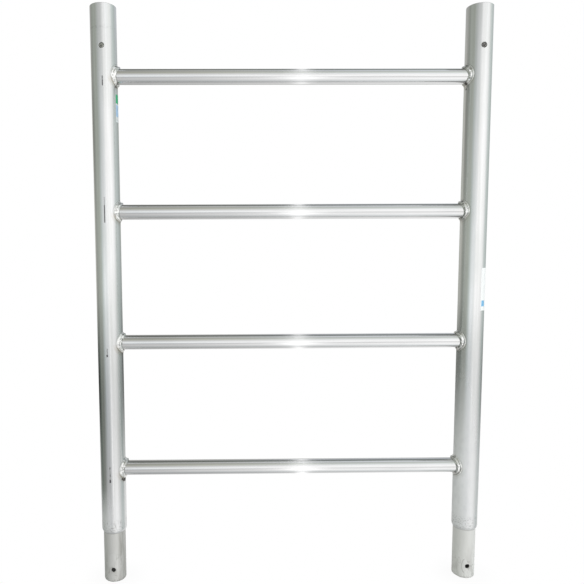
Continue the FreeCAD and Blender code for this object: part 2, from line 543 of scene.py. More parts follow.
BEAD_FINISH = MetalFinish(
    name="weld_bead_finish",
    tone=(0.94, 0.94, 0.92),
    dull_tone=(0.40, 0.40, 0.38),
    cloud=(0.35, 0.7),
    roughness=0.13,
    blotch_rough=0.16,
    lines_per_metre=500.0,
    blotch_per_metre=160.0,
)


class Coat:
    """A metal material under construction, on which layers of tone are laid."""

    def __init__(self, finish: MetalFinish) -> None:
        """Start from a finish's bare tone and gloss.

        Args:
            finish: The finish.
        """
        self.finish = finish
        self.material = bpy.data.materials.new(finish.name)
        self.graph = Graph(self.material)
        self.place = self.graph.place()
        self.lines = finish.die_lines(self.place)
        self.blotches = finish.blotches(self.place)
        self.clouds = self.blotches.over(*finish.cloud)
        self.colour: Value | Colour = finish.tone
        self.covered: Value | float = 0.0
        least = finish.roughness - (finish.blotch_rough + finish.line_rough) / 2
        self.roughness = self.blotches * finish.blotch_rough + self.lines * finish.line_rough + least

    def grain(self, grain: Grain) -> Value:
        """Mask of a random pattern on the piece."""
        return grain.mask(self.place)

    def lay(self, mask: Value, layer: Layer) -> None:
        """Lay a layer over the metal.

        Args:
            mask: Where it lies, from 0 to 1.
            layer: The layer.
        """
        self.colour = (mask * layer.share).mix(self.colour, layer.tone)
        if layer.cover:
            self.covered = mask * layer.cover + self.covered
        if layer.rough:
            self.roughness = mask * layer.rough + self.roughness

    def bare(self) -> Value:
        """Share of bare metal that the layers leave."""
        return 1 - self.covered.math("MINIMUM", 1.0)

    def close(self, metallic: Value, relief: Value) -> bpy.types.Material:
        """Finish the material.

        Args:
            metallic: Share of bare metal.
            relief: Height of the fine relief, in units of the finish's line depth.

        Returns:
            The material.
        """
        sizes = {"Distance": self.finish.line_depth, "Height": relief}
        bump = self.graph.node("ShaderNodeBump", inputs=sizes)
        looks = {"Base Color": self.colour, "Roughness": self.roughness, "Metallic": metallic, "Normal": bump}
        shader = self.graph.node("ShaderNodeBsdfPrincipled", inputs=looks)
        self.graph.node("ShaderNodeOutputMaterial", inputs={"Surface": shader})
        return self.material


class TubeCoat(Coat):
    """The coat of an upright or a spigot, which knows the place round the tube.

    across is the distance from the tube's axis along X, back the one along Y, angle the turn in degrees from
    the front towards +X, and height the height over the ground.
    """

    def __init__(self, finish: MetalFinish, sizes: FrameSizes, side: Side) -> None:
        """Start the coat of the tube on one side.

        Args:
            finish: The tube's finish.
            sizes: Sizes of the frame.
            side: The side that the tube stands on.
        """
        super().__init__(finish)
        x, self.back, self.height = self.place.parts()
        self.across = x - sizes.axis_x(side)
        self.angle = self.across.turn_from(self.back * -1)
        self.from_axis = sizes.from_upright_axis(self.place)

    def bore(self, radius: float, edge: Pair) -> Value:
        """Mask of the tube's bore, whose edge is counted from its radius."""
        return (self.from_axis - radius).over(*edge)


@dataclass(frozen=True)
class Soot:
    """A dark spot that welding left beside a bead.

    Its place and radius are in mm: out from the upright's wall, to the front, and over the rung's axis.
    """

    side: Side
    rung: int
    out: float
    front: float
    rise: float
    radius: float

    def centre(self, sizes: FrameSizes) -> Triple:
        """Middle of the spot in the shared frame."""
        x = self.side.value * (sizes.upright_x - sizes.upright_radius - self.out * MM)
        return (x, -self.front * MM, sizes.rung_height(self.rung) + self.rise * MM)


SOOT_SPOTS = (
    Soot(Side.LEFT, 4, 3.0, 8.0, -15.0, 4.5),
    Soot(Side.LEFT, 4, -1.4, 8.3, -20.5, 4.0),
    Soot(Side.RIGHT, 4, 2.5, 8.0, -16.0, 5.5),
    Soot(Side.RIGHT, 4, -0.5, 5.0, -25.0, 2.5),
    Soot(Side.LEFT, 1, -4.2, 13.5, -18.5, 3.6),
    Soot(Side.LEFT, 1, -2.4, 10.0, -21.0, 4.8),
    Soot(Side.LEFT, 1, -0.8, 6.0, -21.5, 5.0),
    Soot(Side.LEFT, 2, 1.5, 14.0, 8.0, 2.0),
    Soot(Side.RIGHT, 3, 2.0, 10.0, -17.0, 2.5),
    Soot(Side.LEFT, 3, 1.0, 10.0, -18.0, 2.5),
)
SOOT_PER_METRE = 420.0
SOOT_DETAIL = 3.0
SOOT_RAGGED = 4 * MM
SOOT_CORE = 0.4
SOOT_MOST = 0.95
SOOT_TONE: Colour = (0.045, 0.038, 0.032)
SOOT_LAYER = Layer(SOOT_TONE, cover=1.0, rough=0.5)


def soot_mask(coat: Coat, sizes: FrameSizes) -> Value:
    """Mask of all the soot spots.

    Args:
        coat: The material under construction.
        sizes: Sizes of the frame.

    Returns:
        Nearly 1 in the middle of a spot, 0 away from them.
    """
    ragged = coat.place.noise(SOOT_PER_METRE, SOOT_DETAIL).swayed(SOOT_RAGGED)
    mask: Value | float = 0.0
    for spot in SOOT_SPOTS:
        radius = spot.radius * MM
        distance = coat.place.apart(spot.centre(sizes)) + ragged
        mask = distance.over(radius, radius * SOOT_CORE) + mask
    return mask.math("MINIMUM", SOOT_MOST)


@dataclass(frozen=True)
class Tick:
    """A dark rub mark on an upright's front, in mm: heights over the ground, place across, half width."""

    low: float
    high: float
    across: float
    strength: float
    half_width: float = 0.6


LEFT_TICKS = (
    Tick(954.0, 970.0, 0.8, 0.9),
    Tick(705.0, 736.0, -0.7, 0.9),
    Tick(736.0, 751.0, -0.7, 0.5, 0.4),
    Tick(451.0, 454.0, -2.0, 0.95, 1.1),
    Tick(455.0, 466.0, -1.8, 0.6, 0.4),
    Tick(204.0, 209.0, -1.6, 0.95, 1.4),
    Tick(209.0, 231.0, -1.6, 0.5, 0.5),
    Tick(216.0, 220.0, -1.6, 0.8, 0.8),
    Tick(230.0, 234.0, -1.9, 0.7, 0.9),
)


@dataclass(frozen=True)
class ColourField:
    """A plain field of colour on the round of an upright.

    low and high are heights over the ground in mm, start and stop angles in degrees from the front towards
    +X. height_fade and turn_fade are how far it fades past them, in the same units.
    """

    low: float
    high: float
    start: float
    stop: float
    tone: Colour
    turn_fade: float = 1.0
    height_fade: float = 0.4

    def mask(self, coat: TubeCoat) -> Value:
        """1 on the field, 0 beside it."""
        around = coat.angle.within(self.start, self.stop, self.turn_fade)
        return around * coat.height.within(self.low * MM, self.high * MM, self.height_fade * MM)


@dataclass(frozen=True)
class Sticker:
    """A plain sticker without print: its paper, the fields of colour on it, its roughness and its rise."""

    paper: ColourField
    fields: tuple[ColourField, ...]
    rough: float = 0.14
    rise: float = 3.0

    def colour(self, coat: TubeCoat) -> Value | Colour:
        """Colour of the paper and its fields.

        Args:
            coat: The upright's coat.

        Returns:
            The colour.
        """
        colour: Value | Colour = self.paper.tone
        for field in self.fields:
            colour = field.mask(coat).mix(colour, field.tone)
        return colour


LEFT_STICKER = Sticker(
    ColourField(891.0, 941.0, 66.0, 118.0, (0.70, 0.73, 0.75)),
    (
        ColourField(925.0, 941.0, 64.0, 118.0, (0.02, 0.42, 0.18)),
        ColourField(901.0, 922.0, 66.0, 118.0, (0.40, 0.58, 0.80)),
    ),
)
RIGHT_STICKER = Sticker(
    ColourField(535.0, 616.0, 22.0, 84.0, (0.95, 0.96, 0.97)),
    (ColourField(543.0, 554.0, 27.0, 50.0, (0.20, 0.50, 0.80)),),
)


@dataclass(frozen=True)
class UprightWear:
    """What sets the looks of one upright apart from the other's.

    haze is the height at which the white dullness of the foot starts and the height below which it is full,
    haze_and_light_share how dull the metal is there, scuff_share how dark the scuffs under the head are, and
    scorch_share how brown the metal is under the beads. The dullness is partly painted light: it reaches
    higher and is fuller on the right upright, standing in for the brighter light on that side. The bore has a
    tone, a roughness and a dullness of its own; its pale tone and dullness are painted light that makes the
    inside of the tube read brighter.
    """

    ticks: tuple[Tick, ...]
    sticker: Sticker
    haze_and_light: Pair
    haze_and_light_share: float
    scuff_share: float
    scorch_share: float
    # Pale, dull bore: painted light that makes the inside of the tube read brighter.
    bore_light_tone: Colour
    bore_roughness: float
    bore_dullness: float


UPRIGHT_WEAR = {
    Side.LEFT: UprightWear(
        ticks=LEFT_TICKS,
        sticker=LEFT_STICKER,
        haze_and_light=(205 * MM, 125 * MM),
        haze_and_light_share=0.7,
        scuff_share=0.3,
        scorch_share=0.5,
        bore_light_tone=(0.97, 0.97, 0.95),
        bore_roughness=0.13,
        bore_dullness=0.25,
    ),
    # The right upright's higher, fuller foot dullness is partly painted light, for the brighter light on that
    # side.
    Side.RIGHT: UprightWear(
        ticks=(),
        sticker=RIGHT_STICKER,
        haze_and_light=(520 * MM, 200 * MM),
        haze_and_light_share=1.0,
        scuff_share=0.0,
        scorch_share=0.12,
        bore_light_tone=(0.97, 0.96, 0.95),
        bore_roughness=0.35,
        bore_dullness=0.6,
    ),
}


@dataclass(frozen=True)
class UprightDress:
    """Mill finish of one upright, with weld halos, rub marks, foot wear, a sticker, a whiter foot that is
    partly painted light, painted shade where the rounded foot turns in, and painted light in its bore.

    Bands and lines beside a bead are counted from the bead's toe, the specks and the painted shade at the
    foot from the foot, the scuffs from the head, and the bore's edge from the bore. Pairs of patches are the
    least share and what the oxide's pattern adds to it. Turns are angles in degrees from the front.
    flattening scales lengths round the tube, where a bead's toe reaches a little further than up and down.
    """

    sizes: FrameSizes
    side: Side
    streaks: Grain = Grain(260.0, 2.0, 0.02, 0.42, 0.68)
    streak_layer: Layer = Layer((0.60, 0.61, 0.58), 0.2)
    haze_and_light_sway: float = 60 * MM
    haze_and_light_patches: Pair = (0.75, 0.4)
    haze_and_light_turn: Pair = (25.0, -40.0)
    haze_and_light_facing: Pair = (0.35, 0.65)
    # Partly painted light: this whiter, duller layer stands in for brighter light where it lies fullest.
    haze_and_light_layer: Layer = Layer((0.915, 0.915, 0.93), cover=0.75, rough=0.22)
    mottle: Grain = Grain(85.0, 4.0, 0.6, 0.44, 0.66, 0.6)
    mottle_layer: Layer = Layer((0.70, 0.71, 0.73), 0.3)
    flattening: float = 0.955
    below: Pair = (2 * MM, -12 * MM)
    halo: Band = Band(0.0, 0.6 * MM, 0.5 * MM, 0.7)
    halo_layer: Layer = Layer((0.86, 0.86, 0.84), cover=0.3, rough=0.16)
    heat: Band = Band(0.0, 5 * MM, 4 * MM, 0.8)
    heat_layer: Layer = Layer((0.42, 0.33, 0.20))
    toe_line: Band = Band(-1 * MM, -0.2 * MM, 0.4 * MM, 0.4)
    outer_line: Pair = (1.7 * MM, 0.5 * MM)
    outer_share: float = 0.35
    line_layer: Layer = Layer((0.14, 0.13, 0.12))
    scorch: Band = Band(-0.4 * MM, 0.8 * MM, 0.8 * MM)
    scorch_layer: Layer = Layer((0.36, 0.27, 0.14))
    specks: Grain = Grain(360.0, 3.0, 2.0, 0.56, 0.62)
    speck_band: Band = Band(8 * MM, 20 * MM, 10 * MM, 0.55)
    # Painted shade where the rounded foot turns in to the spigot.
    neck_shade: Pair = (9 * MM, 3 * MM)
    neck_shade_share: float = 0.2
    scuffs: Grain = Grain(420.0, 2.0, 1.6, 0.53, 0.62)
    scuff_band: Band = Band(-44 * MM, -41 * MM, 2 * MM)
    # Dark tone of the real scuffs and specks, and of the painted shade at the foot.
    wear_and_shade_layer: Layer = Layer((0.24, 0.24, 0.23))
    tick_grain: Grain = Grain(1100.0, 2.0, 0.3, 0.27, 0.42)
    tick_fade: float = 0.8 * MM
    tick_end: float = 1.5 * MM
    tick_turn: Pair = (95.0, 80.0)
    tick_layer: Layer = Layer((0.035, 0.03, 0.04), cover=1.0, rough=0.4)
    soot_layer: Layer = Layer(SOOT_TONE, cover=1.0, rough=0.4)
    bore_edge: Pair = (0.8 * MM, 0.3 * MM)

    @property
    def wear(self) -> UprightWear:
        """Wear of this upright."""
        return UPRIGHT_WEAR[self.side]

    def tick_mask(self, coat: TubeCoat) -> Value:
        """Mask of the rub marks on the front line.

        Args:
            coat: The upright's coat.

        Returns:
            The strength of a mark on it, 0 beside it.
        """
        marks: Value | float = 0.0
        for tick in self.wear.ticks:
            edge = tick.half_width * MM
            line = abs(coat.across - tick.across * MM).over(edge + self.tick_fade, edge)
            mark = line * coat.height.within(tick.low * MM, tick.high * MM, self.tick_end) * tick.strength
            marks = mark.math("MAXIMUM", marks)
        return marks * abs(coat.angle).over(*self.tick_turn) * coat.grain(self.tick_grain)

    def lay_haze_and_light(self, coat: TubeCoat) -> None:
        """Lay the white dullness of the foot, which is partly painted light: it stands higher and fuller on
        the right upright, for the brighter light on that side.

        Args:
            coat: The upright's coat.
        """
        edge = coat.height + coat.blotches.swayed(self.haze_and_light_sway)
        haze_and_light = edge.over(*self.wear.haze_and_light) * coat.blotches.raised(*self.haze_and_light_patches) * self.wear.haze_and_light_share
        facing = coat.angle.over(*self.haze_and_light_turn).raised(*self.haze_and_light_facing)
        haze_and_light = haze_and_light.math("MINIMUM", 1.0) * facing
        # White dullness of the foot, partly painted light.
        coat.lay(haze_and_light, self.haze_and_light_layer)
        coat.lay(haze_and_light * coat.grain(self.mottle), self.mottle_layer)

    def lay_heat(self, coat: TubeCoat) -> None:
        """Lay the marks of welding round each bead.

        Args:
            coat: The upright's coat.
        """
        sizes = self.sizes
        rise = sizes.over_rung(coat.height)
        facing = -QUARTER_TURN * self.side.value
        over = (coat.angle - facing) * (sizes.upright_radius * self.flattening / DEGREES)
        from_toe = over.hypot(rise) - (sizes.rung_radius + sizes.weld_reach)
        below = rise.over(*self.below) * self.wear.scorch_share
        outer = from_toe.hump(*self.outer_line) * self.outer_share
        coat.lay(self.halo.mask(from_toe), self.halo_layer)
        coat.lay(self.heat.mask(from_toe) * below * coat.blotches, self.heat_layer)
        coat.lay(self.toe_line.mask(from_toe) + outer, self.line_layer)
        coat.lay(self.scorch.mask(from_toe) * below, self.scorch_layer)

    def lay_wear_and_shade(self, coat: TubeCoat) -> None:
        """Lay the scuffs under the head, the specks at the foot, and painted shade where the rounded foot
        turns in to the spigot.

        Args:
            coat: The upright's coat.
        """
        from_head, from_foot = coat.height - self.sizes.head, coat.height - self.sizes.foot
        scuffs = coat.grain(self.scuffs) * self.scuff_band.mask(from_head) * self.wear.scuff_share
        specks = coat.grain(self.specks) * self.speck_band.mask(from_foot)
        # Scuffs and specks are real wear; the term counted from the foot is painted shade over the rounded
        # foot.
        coat.lay(scuffs + specks + from_foot.over(*self.neck_shade) * self.neck_shade_share, self.wear_and_shade_layer)

    def material(self) -> bpy.types.Material:
        """Make the upright's material.

        Returns:
            The material.
        """
        wear = self.wear
        coat = TubeCoat(MILL_FINISH, self.sizes, self.side)
        sticker = wear.sticker.paper.mask(coat)
        paper = Layer(wear.sticker.colour(coat), cover=1.0, rough=wear.sticker.rough)
        bore = coat.bore(self.sizes.bore_radius, self.bore_edge)
        coat.lay(coat.clouds, Layer(MILL_FINISH.dull_tone))
        coat.lay(coat.grain(self.streaks), self.streak_layer)
        self.lay_haze_and_light(coat)
        self.lay_heat(coat)
        self.lay_wear_and_shade(coat)
        coat.lay(self.tick_mask(coat), self.tick_layer)
        coat.lay(soot_mask(coat, self.sizes), self.soot_layer)
        coat.lay(sticker, paper)
        # Painted light: the bore is laid pale and dull so its inside reads brighter.
        coat.lay(bore, Layer(wear.bore_light_tone))
        coat.roughness = coat.roughness * (1 - bore) + bore * wear.bore_roughness
        metallic = coat.bare() * (1 - bore * wear.bore_dullness)
        return coat.close(metallic, coat.lines + sticker * wear.sticker.rise)


@dataclass(frozen=True)
class RungDress:
    """Drawn finish of the rungs, with weld soot and a pale heated ring beside each bead."""

    sizes: FrameSizes
    line_range: Pair = (0.45, 0.8)
    line_layer: Layer = Layer((0.62, 0.62, 0.62), 0.35)
    heat_reach: Pair = (18 * MM, 6 * MM)
    heat_patches: Pair = (0.4, 0.6)
    heat_layer: Layer = Layer((0.80, 0.79, 0.76), 0.4, rough=0.1)

    def material(self) -> bpy.types.Material:
        """Make the rungs' material.

        Returns:
            The material.
        """
        coat = Coat(DRAWN_FINISH)
        x, _, _ = coat.place.parts()
        from_wall = abs(x) * -1 + (self.sizes.upright_x - self.sizes.upright_radius)
        coat.lay(coat.clouds, Layer(DRAWN_FINISH.dull_tone))
        coat.lay(coat.lines.over(*self.line_range), self.line_layer)
        coat.lay(from_wall.over(*self.heat_reach) * coat.blotches.raised(*self.heat_patches), self.heat_layer)
        coat.lay(soot_mask(coat, self.sizes), SOOT_LAYER)
        return coat.close(coat.bare(), coat.lines)


@dataclass(frozen=True)
class SpigotWear:
    """Wear of one spigot: its white oxide, partly painted light and much fuller on the right spigot for the
    brighter light on that side, the scratch beside its hole, and the darker streaky band down its right-hand
    side.
    """

    chalk_and_light: float
    pin_mark: float
    # Share of the darker streaky band down the right-hand side.
    rub: float


# The right spigot's fuller white oxide is partly painted light, for the brighter light on that side.
SPIGOT_WEAR = {
    Side.LEFT: SpigotWear(chalk_and_light=0.08, pin_mark=0.0, rub=0.55),
    Side.RIGHT: SpigotWear(chalk_and_light=0.62, pin_mark=0.5, rub=0.0),
}


@dataclass(frozen=True)
class SpigotDress:
    """Dull finish of a spigot, with drawing streaks, scratches, a darker streaky band down one side, a darker
    lower edge, white oxide that is partly painted light, painted shade under the upright's foot and a painted
    dark bore.

    The pin's scratch is part of a ring about the hole: its squeeze along Z, its radius and width, and where
    it ends to the right and at the back. Reaches are heights over the ground, but the shoulder's is counted
    from the foot of the upright and the bore's edge from the bore.
    """

    sizes: FrameSizes
    side: Side
    line_range: Pair = (0.5, 0.75)
    line_layer: Layer = Layer((0.50, 0.49, 0.46), 0.25)
    chalk_and_light_patches: Pair = (0.75, 0.5)
    chalk_and_light_layer: Layer = Layer((0.87, 0.865, 0.85))
    # A darker streaky band down the spigot's right-hand side.
    side_streaks: Grain = Grain(190.0, 3.0, 0.12, 0.4, 0.62)
    side_streak_depth: Pair = (0.4, 0.6)
    side_streak_turn: Band = Band(45.0, 110.0, 25.0)
    side_streak_layer: Layer = Layer((0.26, 0.25, 0.22))
    smudges: Grain = Grain(70.0, 3.0, 0.4, 0.48, 0.66)
    smudge_reach: Pair = (85 * MM, 12 * MM)
    smudge_layer: Layer = Layer((0.38, 0.37, 0.35), 0.4)
    pin_squeeze: float = 0.62
    pin_ring: Pair = (10.5 * MM, 0.55 * MM)
    pin_end: Pair = (-4 * MM, -7 * MM)
    pin_back: Pair = (0.0, -5 * MM)
    wobble_per_metre: float = 90.0
    wobble: float = 4 * MM
    scratch_per_metre: float = 55.0
    scratch_squeeze: float = 0.35
    scratch_line: Pair = (0.5, 0.006)
    scratch_reach: Pair = (70 * MM, 30 * MM)
    scratch_share: float = 0.5
    scratch_depth: float = 0.6
    chips: Grain = Grain(300.0, 2.0, 1.0, 0.35, 0.65)
    chip_reach: Pair = (6 * MM, 1 * MM)
    chip_share: float = 0.5
    mark_layer: Layer = Layer((0.25, 0.24, 0.22))
    # Painted shade on the spigot just under the upright's foot.
    shoulder_shade: Pair = (-2.2 * MM, -0.6 * MM)
    shoulder_shade_layer: Layer = Layer((0.16, 0.16, 0.15), 0.45)
    bore_edge: Pair = (0.7 * MM, 0.2 * MM)
    # Painted shade: the spigot's bore is laid near black.
    bore_shade_layer: Layer = Layer((0.025, 0.024, 0.022))
    metal_patches: Pair = (0.7, -0.3)

    def pin_mark(self, coat: TubeCoat) -> Value:
        """Mask of the curved scratch beside the pin hole.

        Args:
            coat: The spigot's coat.

        Returns:
            1 on the scratch, 0 beside it.
        """
        rise = (coat.height - self.sizes.spigot_hole[0]) * self.pin_squeeze
        sway = coat.place.noise(self.wobble_per_metre).swayed(self.wobble)
        ring = (coat.across.hypot(rise) + sway).hump(*self.pin_ring)
        return ring * coat.across.over(*self.pin_end) * coat.back.over(*self.pin_back)

    def material(self) -> bpy.types.Material:
        """Make the spigot's material.

        Returns:
            The material.
        """
        wear = SPIGOT_WEAR[self.side]
        coat = TubeCoat(DULL_FINISH, self.sizes, self.side)
        height = coat.height
        chalk_and_light = coat.blotches.raised(*self.chalk_and_light_patches) * wear.chalk_and_light
        streaked = coat.grain(self.side_streaks).raised(*self.side_streak_depth)
        wavy = coat.place.times((1.0, 1.0, self.scratch_squeeze)).noise(self.scratch_per_metre)
        scratches = wavy.hump(*self.scratch_line) * height.over(*self.scratch_reach)
        chips = height.over(*self.chip_reach) * coat.grain(self.chips)
        marks = scratches * self.scratch_share + chips * self.chip_share + self.pin_mark(coat) * wear.pin_mark
        shoulder_shade = (height - self.sizes.foot).over(*self.shoulder_shade)
        bore = coat.bore(self.sizes.spigot_bore, self.bore_edge)
        coat.lay(coat.clouds, Layer(DULL_FINISH.dull_tone))
        coat.lay(coat.lines.over(*self.line_range), self.line_layer)
        # White oxide, partly painted light.
        coat.lay(chalk_and_light, self.chalk_and_light_layer)
        # Darker streaks down the right-hand side.
        coat.lay(streaked * self.side_streak_turn.mask(coat.angle) * wear.rub, self.side_streak_layer)
        coat.lay(coat.grain(self.smudges) * height.over(*self.smudge_reach), self.smudge_layer)
        coat.lay(marks, self.mark_layer)
        # Painted shade where the spigot enters the upright's foot.
        coat.lay(shoulder_shade, self.shoulder_shade_layer)
        # Painted shade: the bore is near black and not metallic, so the open end reads dark.
        coat.lay(bore, self.bore_shade_layer)
        metallic = coat.blotches.raised(*self.metal_patches) * (1 - bore) * (1 - chalk_and_light)
        return coat.close(metallic, coat.lines - scratches * self.scratch_depth)


@dataclass(frozen=True)
class BeadDress:
    """Bright finish of the weld beads, patchy, dark in their seams and sooty in places."""

    sizes: FrameSizes
    patches: Grain = Grain(230.0, 3.0, 1.0, 0.47, 0.6, 0.6)
    patch_layer: Layer = Layer(BEAD_FINISH.dull_tone, 0.7)
    heat_reach: Pair = (-4 * MM, -18 * MM)
    heat_layer: Layer = Layer((0.45, 0.36, 0.24), 0.35)
    seam_per_metre: float = 450.0
    seam_sway: float = 1.6 * MM
    seam_height: Pair = (0.9 * MM, 0.1 * MM)
    seam_reach: Pair = (0.5 * MM, 2.5 * MM)
    seam_layer: Layer = Layer((0.10, 0.09, 0.08), 0.8, rough=0.3)

    def material(self) -> bpy.types.Material:
        """Make the beads' material.

        Returns:
            The material.
        """
        coat = Coat(BEAD_FINISH)
        _, y, z = coat.place.parts()
        rise = self.sizes.over_rung(z)
        sway = coat.place.noise(self.seam_per_metre).swayed(self.seam_sway)
        from_rung = y.hypot(rise) - self.sizes.rung_radius + sway
        out = self.sizes.from_upright_axis(coat.place) - self.sizes.upright_radius
        coat.lay(coat.grain(self.patches), self.patch_layer)
        coat.lay(rise.over(*self.heat_reach) * coat.clouds, self.heat_layer)
        coat.lay(from_rung.over(*self.seam_height) * out.over(*self.seam_reach), self.seam_layer)
        coat.lay(soot_mask(coat, self.sizes), SOOT_LAYER)
        return coat.close(coat.bare(), coat.lines)


def bell(offset: float, width: float) -> float:
    """Bell curve of height 1 about 0."""
    return math.exp(-((offset / width) ** 2))


def full_turn(count: int) -> list[float]:
    """Angles of so many equal steps round a full turn."""
    return [index * math.tau / count for index in range(count)]


def arc_rows(low: Row, high: Row, steps: int) -> list[Row]:
    """Rows along a rounded outer edge that runs into the straight wall above it.

    Args:
        low: Radius and height where the edge starts.
        high: Radius and height where it meets the wall.
        steps: How many rows to give.

    Returns:
        The rows, both ends included.
    """
    drop = high[0] - low[0]
    rise = high[1] - low[1]
    bend = (drop * drop + rise * rise) / (2 * drop)
    start = math.asin(min(1.0, rise / bend))
    turns = [start * (1 - step / (steps - 1)) for step in range(steps)]
    return [(high[0] - bend + bend * math.cos(turn), high[1] - bend * math.sin(turn)) for turn in turns]


@dataclass
class TurnedTube:
    """An upright tube with a turned section and a pin hole from front to back.

    outside and inside are the rows of its walls, from the lower end up, and wear moves a point of the
    perfect tube. window is how many columns the frame of the hole takes to each side of its middle.
    """

    name: str
    axis_x: float
    outside: list[Row]
    inside: list[Row]
    hole_height: float
    hole_radius: float
    wear: Callable[[Vector], Vector] | None = None
    hole_edge: float = 0.5 * MM
    segments: int = 128
    window: int = 7

    def window_rows(self, rows: list[Row]) -> tuple[list[Row], int]:
        """Add the rows that frame the pin hole.

        Args:
            rows: Radius and height of a wall's rows, in order.

        Returns:
            The rows with the new ones among them, and the number of the first new one.
        """
        rising = rows[-1][1] > rows[0][1]
        widest = max(radius for radius, _ in self.outside)
        half = widest * math.sin(self.window * math.tau / self.segments)
        steps = range(-self.window, self.window + 1)
        heights = [self.hole_height + half * step / self.window for step in steps]
        for index in range(len(rows) - 1):
            low, high = sorted((rows[index], rows[index + 1]), key=lambda row: row[1])
            if low[1] < heights[0] and heights[-1] < high[1]:
                slope = (high[0] - low[0]) / (high[1] - low[1])
                added = [(low[0] + slope * (height - low[1]), height) for height in heights]
                if not rising:
                    added.reverse()
                return rows[: index + 1] + added + rows[index + 1:], index + 1
        raise ValueError(f"{self.name}: no straight wall at the pin hole")

    def point(self, radius: float, angle: float, height: float) -> Vector:
        """Place on the tube; the angle runs from the front towards +X."""
        place = Vector((self.axis_x + radius * math.sin(angle), -radius * math.cos(angle), height))
        return self.wear(place) if self.wear else place

    def column(self, turn: float) -> int:
        """Number of the column of vertices at an angle round the tube."""
        return round(turn / math.tau * self.segments)

    def hole_ring(self, piece: PieceMesh, wall: float, turn: float, spokes: list[float], edge: Pair) -> Ring:
        """Ring of the pin hole at one depth.

        Args:
            piece: The mesh under construction.
            wall: Radius of the wall that the ring lies on.
            turn: Angle of the hole round the tube.
            spokes: Angle of each vertex round the hole.
            edge: Radius of the ring, and its depth below the wall.

        Returns:
            The ring.
        """
        radius, depth = edge
        points = []
        for spoke in spokes:
            across = radius * math.cos(spoke)
            out = math.sqrt(wall * wall - across * across) - depth
            angle = turn + math.atan2(across, out)
            height = self.hole_height + radius * math.sin(spoke)
            points.append(self.point(math.hypot(across, out), angle, height))
        return piece.ring(points)

    def middle_ring(self, piece: PieceMesh, frame_ring: Ring, hole: Ring, wall: float) -> Ring:
        """Ring on the wall, half way between the frame of a pin hole and its edge.

        Args:
            piece: The mesh under construction.
            frame_ring: The frame of the hole.
            hole: The edge of the hole.
            wall: Radius of the wall.

        Returns:
            The ring.
        """
        points = []
        for outer, inner in zip(frame_ring, hole):
            middle = (outer.co + inner.co) / 2
            flat = Vector((middle.x - self.axis_x, middle.y, 0)).normalized() * wall
            points.append(Vector((self.axis_x + flat.x, flat.y, middle.z)))
        return piece.ring(points)

    def drill(self, piece: PieceMesh, grid: list[Ring], first_rows: tuple[int, int], turn: float) -> None:
        """Join the outer wall to the inner one through a pin hole.

        Args:
            piece: The mesh under construction.
            grid: All rings of the tube, in order.
            first_rows: First framing row on the outside and on the inside.
            turn: Angle of the hole round the tube.
        """
        size = 2 * self.window
        column = self.column(turn) - self.window
        steps = [(size, row) for row in range(size)]
        steps += [(size - col, size) for col in range(size)]
        steps += [(0, size - row) for row in range(size)]
        steps += [(col, 0) for col in range(size)]
        spokes = [math.atan2(row - self.window, col - self.window) for col, row in steps]
        outer_row, inner_row = first_rows
        outer = [grid[outer_row + row][(column + col) % self.segments] for col, row in steps]
        inner = [grid[inner_row + size - row][(column + col) % self.segments] for col, row in steps]
        outer_wall = math.hypot(outer[0].co.x - self.axis_x, outer[0].co.y)
        inner_wall = math.hypot(inner[0].co.x - self.axis_x, inner[0].co.y)
        wide = (self.hole_radius + self.hole_edge, 0.0)
        rim = self.hole_ring(piece, outer_wall, turn, spokes, wide)
        throat = self.hole_ring(piece, outer_wall, turn, spokes, (self.hole_radius, self.hole_edge))
        back = self.hole_ring(piece, inner_wall, turn, spokes, (self.hole_radius, 0.0))
        chain = [outer, self.middle_ring(piece, outer, rim, outer_wall), rim, throat, back]
        chain += [self.middle_ring(piece, inner, back, inner_wall), inner]
        for first, second in zip(chain, chain[1:]):
            piece.band(first, second)

    def build(self) -> bpy.types.Object:
        """Make the tube.

        Returns:
            The piece.
        """
        piece = PieceMesh()
        outside, outer_row = self.window_rows(self.outside)
        inside, inner_row = self.window_rows(self.inside[::-1])
        inner_row += len(outside)
        rows = outside + inside
        turns = full_turn(self.segments)
        grid = [piece.ring(self.point(radius, turn, height) for turn in turns) for radius, height in rows]
        window = range(-self.window, self.window)
        front_and_back = (0.0, math.pi)
        columns = [self.column(turn) + step for turn in front_and_back for step in window]
        open_faces = frozenset(column % self.segments for column in columns)
        framed = {first + step for first in (outer_row, inner_row) for step in range(2 * self.window)}
        for index, ring in enumerate(grid):
            left_out = open_faces if index in framed else frozenset()
            piece.band(ring, grid[(index + 1) % len(grid)], left_out)
        for turn in front_and_back:
            self.drill(piece, grid, (outer_row, inner_row), turn)
        return piece.finish(self.name)


